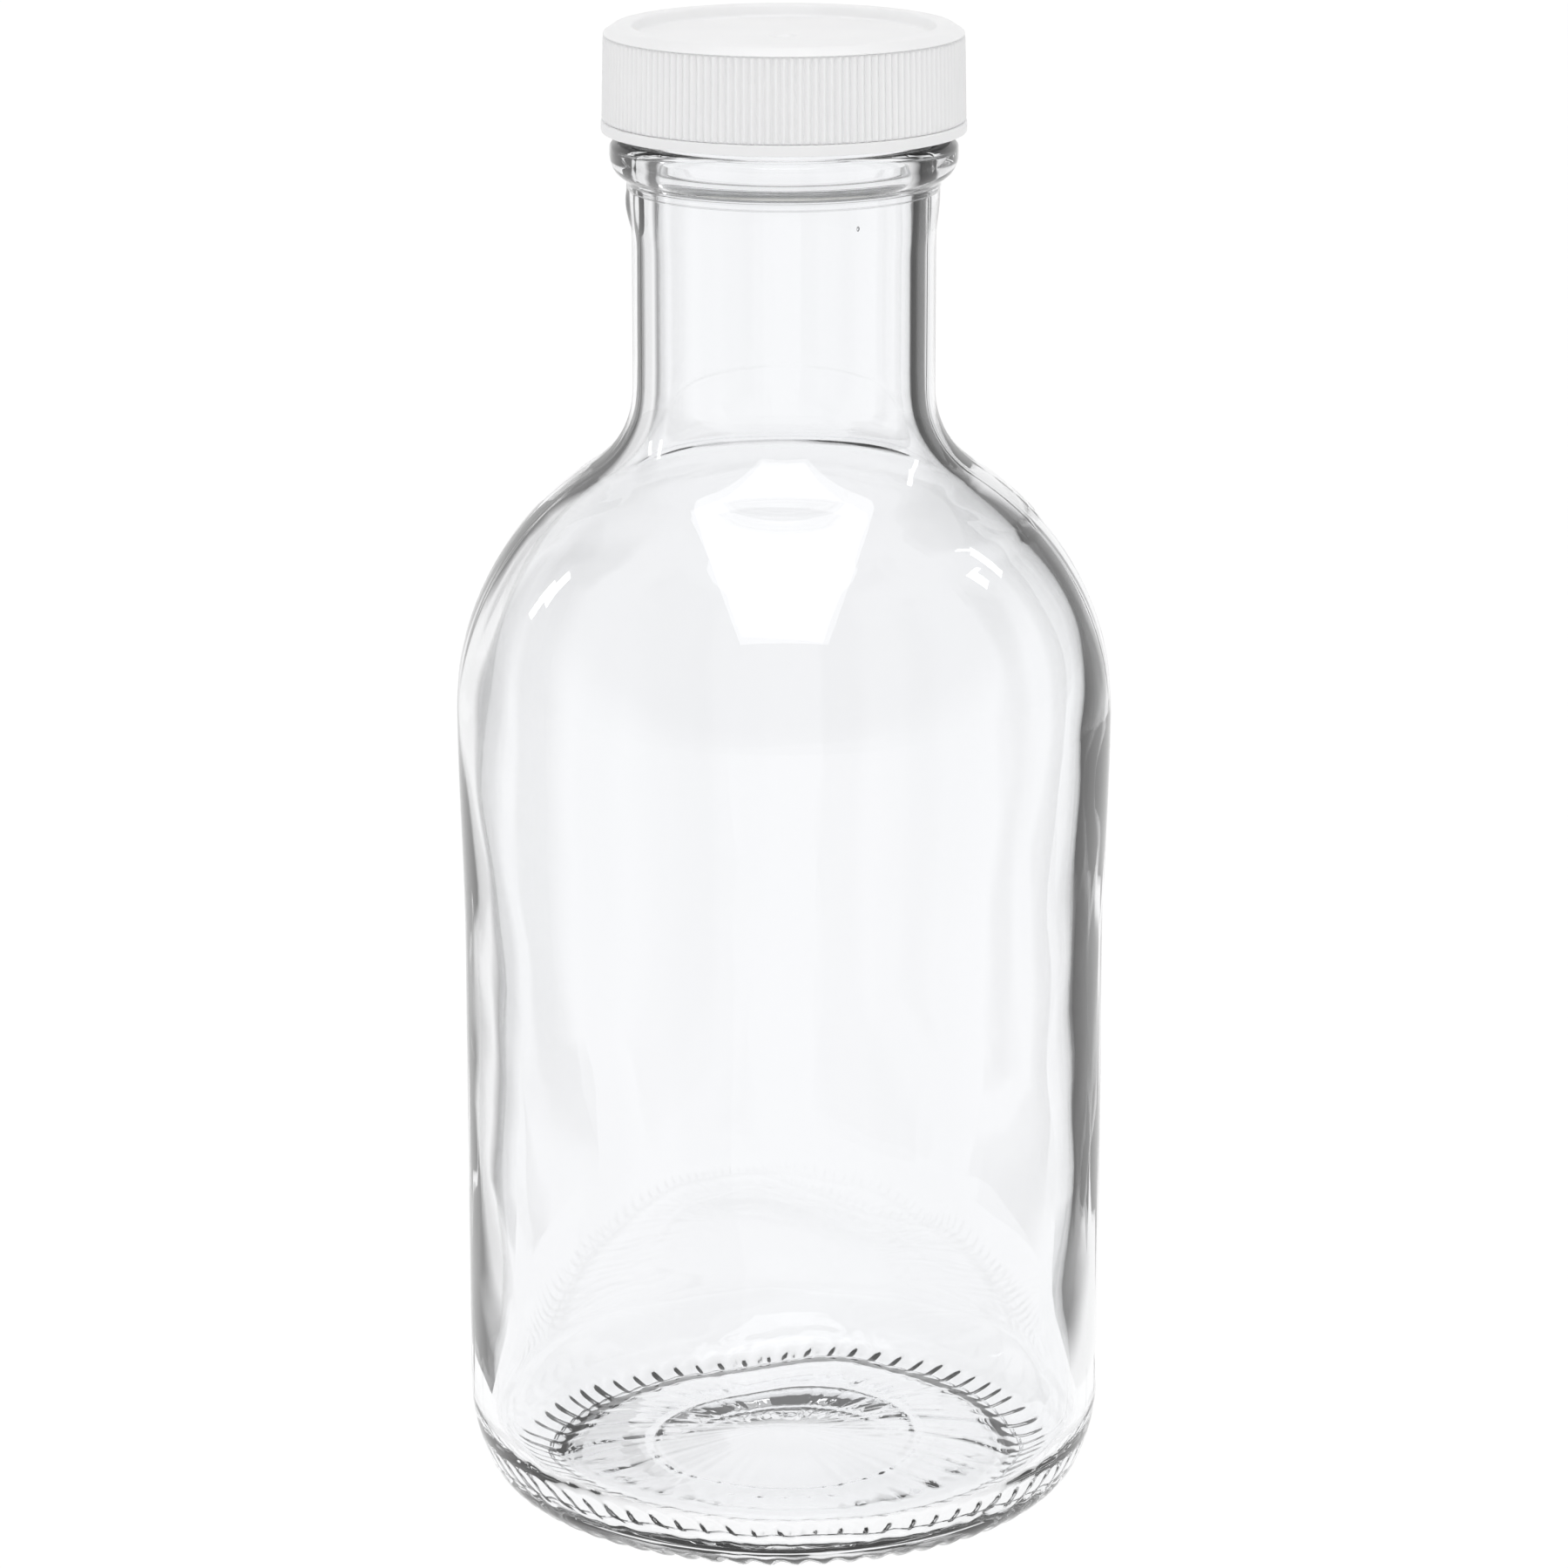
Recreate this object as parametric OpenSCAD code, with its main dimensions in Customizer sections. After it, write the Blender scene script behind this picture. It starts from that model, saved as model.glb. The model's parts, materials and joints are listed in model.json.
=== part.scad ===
// Clear glass dairy bottle with a ribbed screw cap and a foam liner.
// The origin is the centre of the ring the bottle stands on, +Z is up and sizes are in millimetres.

/* [Body] */
// Radius of the straight label panel
barrel_r = 36.8; // [36:0.1:37.2]
// Height where the heel curve meets the label panel
heel_top = 12.35; // [11.5:0.05:13.5]
// Radius of the upper heel arc
heel_r = 19.6; // [17:0.1:22]
// Radius of the lower heel arc, down to the table
foot_r = 7.1; // [5.5:0.1:8]
// Top of the straight label panel
panel_top = 66; // [60:0.5:72]
// Widest radius, under the shoulder
bulge_r = 37.4; // [37.3:0.05:38]
// Height of the widest radius
bulge_z = 93; // [88:0.5:96]
// Radius of the shoulder arc
shoulder_r = 33.6; // [32.5:0.1:34.5]
// Glass thickness in the body
body_wall = 3.3; // [2.6:0.1:3.8]

/* [Base] */
// Inner radius of the ring the bottle stands on
bearing_in = 26.2; // [25:0.1:27]
// Height of the push-up in the middle of the underside
push_up = 3.2; // [2:0.1:4]
// Height of the inside floor at the middle
floor_z = 6.8; // [6:0.1:8]
// Glass thickness in the heel, down to the standing ring
heel_wall = 3.8; // [3.3:0.1:4.5]
// Number of grip notches round the standing ring
knurl_n = 64; // [48:2:72]
// Depth of a grip notch
knurl_deep = 0.45; // [0.3:0.05:0.6]

/* [Neck] */
// Outer radius of the neck
neck_r = 17; // [16.5:0.1:17.3]
// Radius of the curve between the shoulder and the neck
neck_fillet = 6.8; // [5:0.1:8]
// Glass thickness in the neck
neck_wall = 2.8; // [2.2:0.1:3.2]
// Radius of the band that the neck mould leaves under the bead
band_r = 17.55; // [17.3:0.05:17.8]
// Lowest height of that band
band_z = 149.6; // [148:0.1:150.5]
// Widest radius of the carrying bead
bead_r = 19.45; // [19.2:0.05:19.6]
// Height of the bead's widest line
bead_z = 156.6; // [156.3:0.1:156.9]
// Top face of the carrying bead
bead_top = 158.6; // [158.3:0.1:158.9]

/* [Threaded finish] */
// Height of the glass rim
rim_z = 167.7; // [167.6:0.1:167.8]
// Radius at the thread's root
root_r = 17.4; // [17.2:0.05:17.5]
// Radius at the thread's crest
crest_r = 18.6; // [18.4:0.05:18.7]
// Rise of the thread for each turn, six turns to the inch
pitch = 4.2333; // [4.2333]
// Turns of thread on the glass
glass_turns = 1.25; // [1:0.05:1.3]

/* [Cap] */
// Outer radius over the ribs at the bottom of the skirt
cap_r = 20.35; // [20.3:0.05:20.6]
// Outer radius over the ribs at the top of the skirt
cap_r_top = 20.15; // [20.05:0.05:20.25]
// Depth of the grooves between the ribs
rib_deep = 0.4; // [0.3:0.05:0.5]
// Number of ribs
rib_n = 144; // [120:2:150]
// Bottom of the skirt
skirt_z = 159.4; // [159.2:0.1:159.6]
// Height of the plain band at the bottom of the skirt
skirt_band = 1.25; // [1:0.05:1.4]
// Top of the raised rim
cap_top = 171.2; // [171:0.1:171.5]
// Outer radius of the raised rim, where its slope ends
crown_r = 18.8; // [18.4:0.1:19.2]
// Height of the slope between the side and the raised rim
crown_h = 0.95; // [0.7:0.05:1.1]
// Radius of the recess in the top, at its floor
recess_r = 16.4; // [16:0.1:16.8]
// Depth of the recess in the top
recess_deep = 1.3; // [1:0.1:1.4]
// Inner radius of the skirt
skirt_in = 19.1; // [19:0.05:19.2]
// Thickness of the top panel
cap_panel = 1.2; // [1.1:0.05:1.25]
// Radius at the crest of the cap's thread
cap_crest = 17.8; // [17.7:0.05:18]

/* [Liner] */
// Radius of the foam liner
liner_r = 18.25; // [18.15:0.05:18.4]
// Thickness of the foam liner
liner_t = 0.95; // [0.85:0.01:0.95]

/* [Hidden] */
$fn = 180;

glass_tint = [0.86, 0.91, 0.89, 0.45];
cap_white = [0.95, 0.95, 0.94];
foam_white = [0.9, 0.9, 0.88];

arc_step = 6;           // degrees between the points of an arc
mesh = 0.5;             // how far one solid reaches into another that it joins

// Centres of the outer body arcs, as [radius, height]
heel_c = [barrel_r - heel_r, heel_top];
foot_run = sqrt(pow(heel_r - foot_r, 2) - pow(heel_top - foot_r, 2));
foot_c = [heel_c[0] + foot_run, foot_r];
heel_meet = atan2(foot_c[1] - heel_c[1], foot_c[0] - heel_c[0]);
bulge_half = (bulge_z - panel_top) / 2;
bulge_step = bulge_r - barrel_r;
bulge_arc = (pow(bulge_half, 2) + pow(bulge_step / 2, 2)) / bulge_step;
bulge_turn = asin(bulge_half / bulge_arc);
shoulder_c = [bulge_r - shoulder_r, bulge_z];
neck_c = fillet_centre(shoulder_c, shoulder_r, neck_r, neck_fillet);
neck_meet = atan2(neck_c[1] - shoulder_c[1], neck_c[0] - shoulder_c[0]);

// The inside follows the outside
in_wall = barrel_r - body_wall;
in_bulge = bulge_r - body_wall;
in_shoulder = shoulder_r - body_wall;
in_neck = neck_r - neck_wall;
in_fillet = neck_fillet + neck_wall;
in_neck_c = fillet_centre(shoulder_c, in_shoulder, in_neck, in_fillet);
in_neck_meet = atan2(in_neck_c[1] - shoulder_c[1], in_neck_c[0] - shoulder_c[0]);
in_foot = foot_r - heel_wall;
in_heel = heel_r - heel_wall;
corner_turn = 84;       // degrees below level where the inside corner turns into the floor
floor_edge = foot_c[0] + in_foot * cos(corner_turn);
floor_low = foot_c[1] - in_foot * sin(corner_turn);
floor_rise = floor_z - floor_low;
floor_arc = (pow(floor_edge, 2) + pow(floor_rise, 2)) / (2 * floor_rise);
floor_turn = 90 - asin(floor_edge / floor_arc);
heel_blend = 5;         // height over which the wall thickens into the heel

// Carrying bead
bead_low_r = 2.6;       // radius of its lower round
bead_high_r = 1.2;      // radius of its upper edge
band_blend = 0.5;       // slope between the neck and the mould band

// Rim of the glass
rim_out = 0.8;          // radius of the outer edge
rim_in = 1.0;           // radius of the inner edge

// Base
bearing_slope = 1.1;    // width of the slope inside the standing ring
push_edge = 0.9;        // height of the underside at the top of that slope
push_r = bearing_in - bearing_slope;
push_arc = (pow(push_r, 2) + pow(push_up - push_edge, 2)) / (2 * (push_up - push_edge));
notch_r = 0.8;          // radius of the cutter that makes a grip notch
notch_start = bearing_in + 1;
notch_len = 5;
mark_r = 15;            // ring of the plain mould mark
mark_t = 0.5;
dot_n = 5;              // dots of the mould mark
dot_r = 0.6;
dot_ring = 18;
dot_gap = 9;            // degrees between dots

// Thread sections, as half widths at the root and at the crest
glass_root_w = 1.15;
glass_crest_w = 0.45;
cap_root_w = 0.85;
cap_crest_w = 0.35;
glass_thread_z = 160.1; // height of the glass thread's lower end
thread_gap = 1.4;       // the cap's thread runs this far under the glass thread
cap_thread_from = 170;  // degrees round the helix where the cap's thread starts
cap_thread_to = 535;
thread_step = 10;
thread_fade = 40;       // degrees over which a thread fades out at its ends

// Cap
cap_floor = cap_top - recess_deep;
cap_in_top = cap_floor - cap_panel;
hold_r = 18;            // inner radius of the small ring that keeps the liner in
hold_h = 0.5;
hold_z = cap_in_top - liner_t - 0.35;
rib_top = cap_top - crown_h - 0.1;
rib_low = skirt_z + skirt_band;
groove_r = cap_r_top - rib_deep;
band_flare = 0.1;       // the plain band stands this far outside the ribs
recess_slope = 0.5;     // the recess is this much wider at its mouth
crown_round = 0.25;     // radius of the raised rim's two edges
rib_end_step = 30;      // a rib's end is rounded in two flats
skirt_lip = 0.3;        // chamfer at the mouth of the skirt
gate_r = 1.7;           // dimple where the plastic was fed in
gate_deep = 0.2;

// Liner
liner_z = rim_z + 0.02;

// Centre of an arc of radius r that touches the line x = side and the arc round c
function fillet_centre(c, big, side, r) =
    [side + r, c[1] + sqrt(pow(big + r, 2) - pow(side + r - c[0], 2))];

// Points of an arc round c, from angle a0 to angle a1
function arc(c, r, a0, a1, step = arc_step) =
    let (n = max(2, ceil(abs(a1 - a0) / step)))
    [for (i = [0:n]) c + r * [cos(a0 + (a1 - a0) * i / n), sin(a0 + (a1 - a0) * i / n)]];

// The slight outward swell above the label panel: two arcs that meet halfway
function swell(side) = [
    for (p = arc([side + bulge_arc, panel_top], bulge_arc, 180, 180 - bulge_turn)) p,
    for (p = arc([side + bulge_step - bulge_arc, bulge_z], bulge_arc, -bulge_turn / 2, 0)) p
];

// Outside of the glass, from the standing ring up to the rim
function outside() = concat(
    arc(foot_c, foot_r, -90, heel_meet),
    arc(heel_c, heel_r, heel_meet + arc_step / 2, 0),
    swell(barrel_r),
    arc(shoulder_c, shoulder_r, arc_step / 2, neck_meet),
    arc(neck_c, neck_fillet, neck_meet + 180 - arc_step, 180),
    [[neck_r, band_z - band_blend], [band_r, band_z], [band_r, bead_z - bead_low_r - 0.2]],
    arc([bead_r - bead_low_r, bead_z], bead_low_r, -66, 0),
    arc([bead_r - bead_high_r, bead_top - bead_high_r], bead_high_r, 0, 90),
    [[root_r, bead_top]],
    arc([root_r - rim_out, rim_z - rim_out], rim_out, 0, 90)
);

// Inside of the glass, from the rim down to the middle of the floor
function inside() = concat(
    arc([in_neck + rim_in, rim_z - rim_in], rim_in, 90, 180),
    arc(in_neck_c, in_fillet, 180, in_neck_meet + 180),
    arc(shoulder_c, in_shoulder, in_neck_meet - arc_step / 2, 0),
    [[in_wall, panel_top], [in_wall, heel_top + heel_blend]],
    arc(heel_c, in_heel, 0, heel_meet),
    arc(foot_c, in_foot, heel_meet - arc_step, arc_step - corner_turn),
    [for (p = arc([0, floor_z - floor_arc], floor_arc, floor_turn, 90)) p]
);

// Underside, from the middle out to the standing ring
function underside() = concat(
    [[0, push_up]],
    [for (p = arc([0, push_up - push_arc], push_arc, 90 - arc_step, 90 - asin(push_r / push_arc))) p],
    [[push_r, push_edge], [bearing_in, 0]]
);

// One ridge of thread swept along a right-hand helix.
// foot is the radius buried in the wall, top the radius of the crest.
module thread(foot, top, foot_w, top_w, z0, from, to) {
    rings = [for (a = [from:thread_step:to]) let (
        fade = min(1, (a - from) / thread_fade, (to - a) / thread_fade),
        r = foot + (top - foot) * max(0.3, fade),
        w = max(0.3, fade),
        z = z0 + pitch * a / 360
    ) [for (q = [[foot, -foot_w * w], [r, -top_w * w], [r, top_w * w], [foot, foot_w * w]])
        [q[0] * cos(a), q[0] * sin(a), z + q[1]]]];
    n = len(rings);
    order = top > foot ? 1 : -1;
    sides = [for (i = [0:n - 2], k = [0:3]) let (m = (k + 1) % 4, a = 4 * i, b = 4 * i + 4)
        each [[a + k, b + k, b + m], [a + k, b + m, a + m]]];
    ends = [[0, 1, 2], [0, 2, 3], [4 * n - 4, 4 * n - 2, 4 * n - 3], [4 * n - 4, 4 * n - 1, 4 * n - 2]];
    faces = concat(sides, ends);
    polyhedron(
        points = [for (ring = rings) each ring],
        faces = order > 0 ? [for (f = faces) [f[2], f[1], f[0]]] : faces
    );
}

// Grip notches across the standing ring, open towards the heel
module grip_notches() {
    for (i = [0:knurl_n - 1])
        rotate([0, 0, i * 360 / knurl_n])
            translate([notch_start, 0, knurl_deep - notch_r])
                rotate([0, 90, 0])
                    cylinder(r = notch_r, h = notch_len, $fn = 32);
}

// Plain mould mark on the underside: a thin ring and a row of dots
module mould_mark() {
    difference() {
        cylinder(r = mark_r + mark_t, h = push_up + mesh);
        translate([0, 0, -mesh]) cylinder(r = mark_r, h = push_up + 3 * mesh);
        translate([0, 0, -mesh]) cylinder(r = 2 * mark_r, h = mark_low() + mesh);
    }
    for (i = [0:dot_n - 1])
        rotate([0, 0, (i - (dot_n - 1) / 2) * dot_gap - 90])
            translate([dot_ring, 0, mark_low() - 0.4])
                cylinder(r = dot_r, h = push_up, $fn = 32);
}

// Height of the underside at the mould ring, less its 0.3 mm relief
function mark_low() = push_up - push_arc + sqrt(pow(push_arc, 2) - pow(mark_r, 2)) - 0.3;

module glass_bottle() {
    color(glass_tint) {
        difference() {
            rotate_extrude() polygon(concat(underside(), outside(), inside()));
            grip_notches();
        }
        mould_mark();
        thread(root_r - mesh, crest_r, glass_root_w, glass_crest_w,
            glass_thread_z, 0, 360 * glass_turns);
    }
}

// Outline of the ribbed skirt: each rib is a low trapezoid
function rib_outline() =
    let (w = 360 / rib_n)
    [for (i = [0:rib_n - 1], q = [[0, groove_r], [0.25, groove_r], [0.42, cap_r], [0.83, cap_r]])
        q[1] * [cos((i + q[0]) * w), sin((i + q[0]) * w)]];

// Space that the ribs fill: slightly tapered, and rounded over at both ends
module rib_space() {
    low_c = [cap_r - rib_deep, rib_low + rib_deep];
    high_c = [cap_r_top - rib_deep, rib_top - rib_deep];
    rotate_extrude() polygon(concat(
        [[skirt_in + mesh, rib_low - mesh], [groove_r, rib_low - mesh], [groove_r, rib_low]],
        arc(low_c, rib_deep, -60, 0, rib_end_step),
        arc(high_c, rib_deep, 0, 60, rib_end_step),
        [[groove_r, rib_top], [skirt_in + mesh, rib_top]]
    ));
}

// Outside of the cap without its ribs, from the mouth of the skirt up to the recess
function cap_outside() = concat(
    [[cap_r + band_flare - skirt_lip, skirt_z], [cap_r + band_flare, skirt_z + skirt_lip],
     [cap_r, rib_low - skirt_lip / 2], [groove_r, rib_low], [groove_r, rib_top],
     [cap_r_top, cap_top - crown_h]],
    arc([crown_r - crown_round / 2, cap_top - crown_round], crown_round, 55, 90, rib_end_step),
    arc([recess_r + recess_slope + crown_round, cap_top - crown_round], crown_round, 90, 150, rib_end_step)
);

module cap_shell() {
    rotate_extrude() polygon(concat(
        [[0, cap_floor - gate_deep], [0, cap_in_top], [skirt_in - mesh, cap_in_top],
         [skirt_in, cap_in_top - mesh], [skirt_in, skirt_z + skirt_lip], [skirt_in + skirt_lip, skirt_z]],
        cap_outside(),
        [[recess_r, cap_floor], [gate_r, cap_floor], [gate_r / 2, cap_floor - gate_deep]]
    ));
}

// Small ring inside the cap that keeps the liner from dropping out
module liner_ring() {
    rotate_extrude() polygon([
        [skirt_in + mesh / 2, hold_z - hold_h], [skirt_in, hold_z - hold_h], [hold_r, hold_z - hold_h / 4],
        [hold_r, hold_z], [skirt_in, hold_z + hold_h / 2], [skirt_in + mesh / 2, hold_z + hold_h / 2]
    ]);
}

module screw_cap() {
    color(cap_white) {
        cap_shell();
        intersection() {
            translate([0, 0, skirt_z]) linear_extrude(cap_top - skirt_z) polygon(rib_outline());
            rib_space();
        }
        liner_ring();
        thread(skirt_in + mesh / 2, cap_crest, cap_root_w, cap_crest_w,
            glass_thread_z - thread_gap, cap_thread_from, cap_thread_to);
    }
}

module cap_liner() {
    color(foam_white)
        translate([0, 0, liner_z])
            cylinder(r = liner_r, h = liner_t);
}

glass_bottle();
screw_cap();
cap_liner();
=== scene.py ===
# %% [markdown]
# # A clear glass dairy bottle with a ribbed screw cap
# The real object is three pieces: a bottle blown from clear soda-lime glass, a closure moulded in
# white polypropylene, and a thin foam disc inside the closure that seals on the glass rim.
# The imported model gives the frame: where each piece is, how large it is and how it moves. Here each
# piece gets the finish of the real one, and a mesh fine enough for light to bend through it.

import json
import math

import bpy
import numpy as np
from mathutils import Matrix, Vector


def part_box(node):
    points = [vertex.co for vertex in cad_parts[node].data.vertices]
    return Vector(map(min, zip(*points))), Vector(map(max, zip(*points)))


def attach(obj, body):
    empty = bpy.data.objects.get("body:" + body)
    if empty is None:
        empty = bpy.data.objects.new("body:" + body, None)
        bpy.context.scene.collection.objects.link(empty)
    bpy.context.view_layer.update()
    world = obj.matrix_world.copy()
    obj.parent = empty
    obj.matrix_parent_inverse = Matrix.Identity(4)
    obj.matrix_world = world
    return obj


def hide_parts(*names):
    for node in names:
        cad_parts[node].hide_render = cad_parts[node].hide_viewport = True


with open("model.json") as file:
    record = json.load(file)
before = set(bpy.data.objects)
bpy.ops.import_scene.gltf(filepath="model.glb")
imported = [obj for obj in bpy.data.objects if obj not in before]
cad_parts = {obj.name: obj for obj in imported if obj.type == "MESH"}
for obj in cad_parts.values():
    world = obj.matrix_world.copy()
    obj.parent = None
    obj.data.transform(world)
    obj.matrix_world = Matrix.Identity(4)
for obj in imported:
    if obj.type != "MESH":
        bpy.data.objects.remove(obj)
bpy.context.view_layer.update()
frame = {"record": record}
MM = 0.001
glass_low, glass_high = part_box("glass_bottle")
cap_low, cap_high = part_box("screw_cap")
liner_low, liner_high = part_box("cap_liner")

# %% [markdown]
# ## Helpers for round pieces
# Every piece here was made on an axis, by blowing or moulding, so every mesh is a stack of rings.
# A ring is an array of points; neighbouring rings are joined by quads, by triangles where one ring
# has twice the points of the other, and by a fan where a ring is a single point. This gives full
# control over each ring, which is how ribs, threads and notches are put on a round shape.

# %% Rings to mesh
def join_rings(a, b, start_a, start_b):
    """Faces between two rings of len a and b points that start at these vertex numbers."""
    if a == 1:
        return [(start_a, start_b + (k + 1) % b, start_b + k) for k in range(b)]
    if b == 1:
        return [(start_a + k, start_a + (k + 1) % a, start_b) for k in range(a)]
    if a == b:
        return [
            (start_a + k, start_a + (k + 1) % a, start_b + (k + 1) % a, start_b + k)
            for k in range(a)
        ]
    faces = []
    small = min(a, b)
    fine, coarse = (start_a, start_b) if a > b else (start_b, start_a)
    for k in range(small):
        c0, c1 = coarse + k, coarse + (k + 1) % small
        f0, f1, f2 = fine + 2 * k, fine + 2 * k + 1, fine + (2 * k + 2) % (2 * small)
        strip = [(f0, f1, c0), (f1, f2, c1), (f1, c1, c0)]
        faces += strip if a > b else [face[::-1] for face in strip]
    return faces


def ring_piece(name, *stacks):
    """A smooth shaded object made of closed stacks of rings, sizes in millimetres."""
    faces = []
    first = 0
    for stack in stacks:
        for lower, upper in zip(stack, stack[1:]):
            faces += join_rings(len(lower), len(upper), first, first + len(lower))
            first += len(lower)
        first += len(stack[-1])
    points = np.vstack([ring for stack in stacks for ring in stack])
    mesh = bpy.data.meshes.new(name)
    mesh.from_pydata((points * MM).tolist(), [], faces)
    mesh.shade_smooth()
    mesh.validate()
    piece = bpy.data.objects.new(name, mesh)
    bpy.context.scene.collection.objects.link(piece)
    triangles = sum(len(face.vertices) - 2 for face in mesh.polygons)
    print(name, len(mesh.vertices), "points", triangles, "triangles")
    return piece


def around(count):
    """The turn of each point of a ring, in radians."""
    return np.linspace(0, 2 * math.pi, count, endpoint=False)


def ring(radius, height, count):
    """Points round the axis; radius and height may each hold one value for each point."""
    turn = around(count)
    flat = np.broadcast_to(height, turn.shape)
    return np.column_stack([radius * np.cos(turn), radius * np.sin(turn), flat])


def point(height):
    """The single point on the axis that closes a stack."""
    return np.array([[0.0, 0.0, height]])


# %% [markdown]
# An outline is a list of radius and height. Blown and moulded pieces have no sharp corner, and on
# glass every small round catches its own light, so outlines are made of true arcs, and of corners
# that are eased with a short curve.

# %% Outlines
def arc(centre, radius, start, stop, count):
    """Points of an arc, angles in degrees, both ends included."""
    turn = np.radians(np.linspace(start, stop, count))
    return np.column_stack([centre[0] + radius * np.cos(turn), centre[1] + radius * np.sin(turn)])


def line(start, stop, count):
    """Points along a straight line, both ends included."""
    step = np.linspace(0, 1, count)[:, None]
    return np.array(start) * (1 - step) + np.array(stop) * step


def spread(points, least):
    """The same points, less each one that is nearer than least to the one before it."""
    apart = np.linalg.norm(np.diff(points, axis=0), axis=1) > least
    return points[np.concatenate([[True], apart])]


def eased(*corners, count=5):
    """Straight runs between corners (radius, height, ease); each bend starts ease before its corner."""
    spots = [np.array(corner[:2], float) for corner in corners]
    points = [spots[0]]
    for before, here, after, corner in zip(spots, spots[1:], spots[2:], corners[1:]):
        ease = corner[2]
        inward = here + (before - here) * min(0.5, ease / np.linalg.norm(before - here))
        onward = here + (after - here) * min(0.5, ease / np.linalg.norm(after - here))
        for t in np.linspace(0, 1, count):
            points.append(inward * (1 - t) ** 2 + here * 2 * t * (1 - t) + onward * t * t)
    points.append(spots[-1])
    return spread(np.array(points), 0.001)


def outline(*stretches):
    """One outline from several, less the points that two neighbours share."""
    return spread(np.vstack(stretches), 0.01)


def hill(distance, width):
    """A smooth hill: 1 in the middle, 0 from half the width outwards."""
    inside = np.clip(1 - np.abs(distance) * 2 / width, 0, 1)
    return inside * inside * (3 - 2 * inside)


# %% [markdown]
# ## The glass
# The bottle is blown against a steel mould, so its outside is true and its inside is free: hot glass
# settles a little unevenly, and the wall is thicker here and thinner there. That is why the dark
# lines inside the edges of a real bottle wander. A lathe outline alone can't show this, so the rings
# of the inside get a slow wave, a few tenths of a millimetre high.

# %% Sizes of the bottle, in millimetres
BARREL_R = frame["record"]["mounts"][1]["dims"]["r_mm"]
RIM_Z = glass_high[2] / MM
BULGE_R = min(glass_high[0], glass_high[1], -glass_low[0], -glass_low[1]) / MM
HEEL_TOP = 12.35
HEEL_R = 19.6
FOOT_R = 7.1
PANEL_TOP = 66.0
BULGE_Z = 93.0
SHOULDER_R = 33.6
NECK_R = 17.0
NECK_FILLET = 10.5
BAND_R = 17.55
BAND_Z = 149.6
BEAD_R = 19.45
BEAD_Z = 156.6
BEAD_TOP = 158.6
BEAD_LOW_R = 2.6
BEAD_HIGH_R = 1.2
ROOT_R = 17.4
CREST_R = 18.6
BODY_WALL = 3.3
NECK_WALL = 2.8
HEEL_WALL = 3.8
CORNER_R = 7.5
FLOOR_Z = 5.9
BEARING_IN = 26.2
PUSH_UP = 3.2
PUSH_R = 25.1
PUSH_EDGE = 0.9
STEP_IN_R = 23.4
STEP_IN_Z = 1.26
STEP_OUT_R = 28.6
BORE_LEAN = 0.95
LEAN_Z = 132.0
LEAN_LONG = 76.0
LEAN_TURN = 0.012
FINE = 512
PLAIN = 256


# %% Where the arcs of the bottle meet
def fillet_centre(centre, big, side, radius):
    """Centre of an arc that touches the upright at side and the arc round centre."""
    rise = math.sqrt((big + radius) ** 2 - (side + radius - centre[0]) ** 2)
    return side + radius, centre[1] + rise


def slope(a, b):
    """Direction from a to b in degrees."""
    return math.degrees(math.atan2(b[1] - a[1], b[0] - a[0]))


heel_c = (BARREL_R - HEEL_R, HEEL_TOP)
foot_run = math.sqrt((HEEL_R - FOOT_R) ** 2 - (HEEL_TOP - FOOT_R) ** 2)
foot_c = (heel_c[0] + foot_run, FOOT_R)
heel_meet = slope(heel_c, foot_c)
shoulder_c = (BULGE_R - SHOULDER_R, BULGE_Z)
neck_c = fillet_centre(shoulder_c, SHOULDER_R, NECK_R, NECK_FILLET)
neck_meet = slope(shoulder_c, neck_c)
inner_r = SHOULDER_R - BODY_WALL + 0.5
bore_r = NECK_R - NECK_WALL
bore_fillet = NECK_FILLET + NECK_WALL + 1
bore_c = fillet_centre(shoulder_c, inner_r, bore_r, bore_fillet)
bore_meet = slope(shoulder_c, bore_c)
print("heel meets foot at", round(heel_meet), "neck starts at", round(float(neck_c[1]), 1), "mm")


# %% Outside of the bottle
def swell(low_r, high_r, low_z, high_z, count):
    """The slight outward swell from the label panel to the widest line."""
    step = np.linspace(0, 1, count)
    ease = (1 - np.cos(np.pi * step)) / 2
    return np.column_stack([low_r + (high_r - low_r) * ease, low_z + (high_z - low_z) * step])


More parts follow.
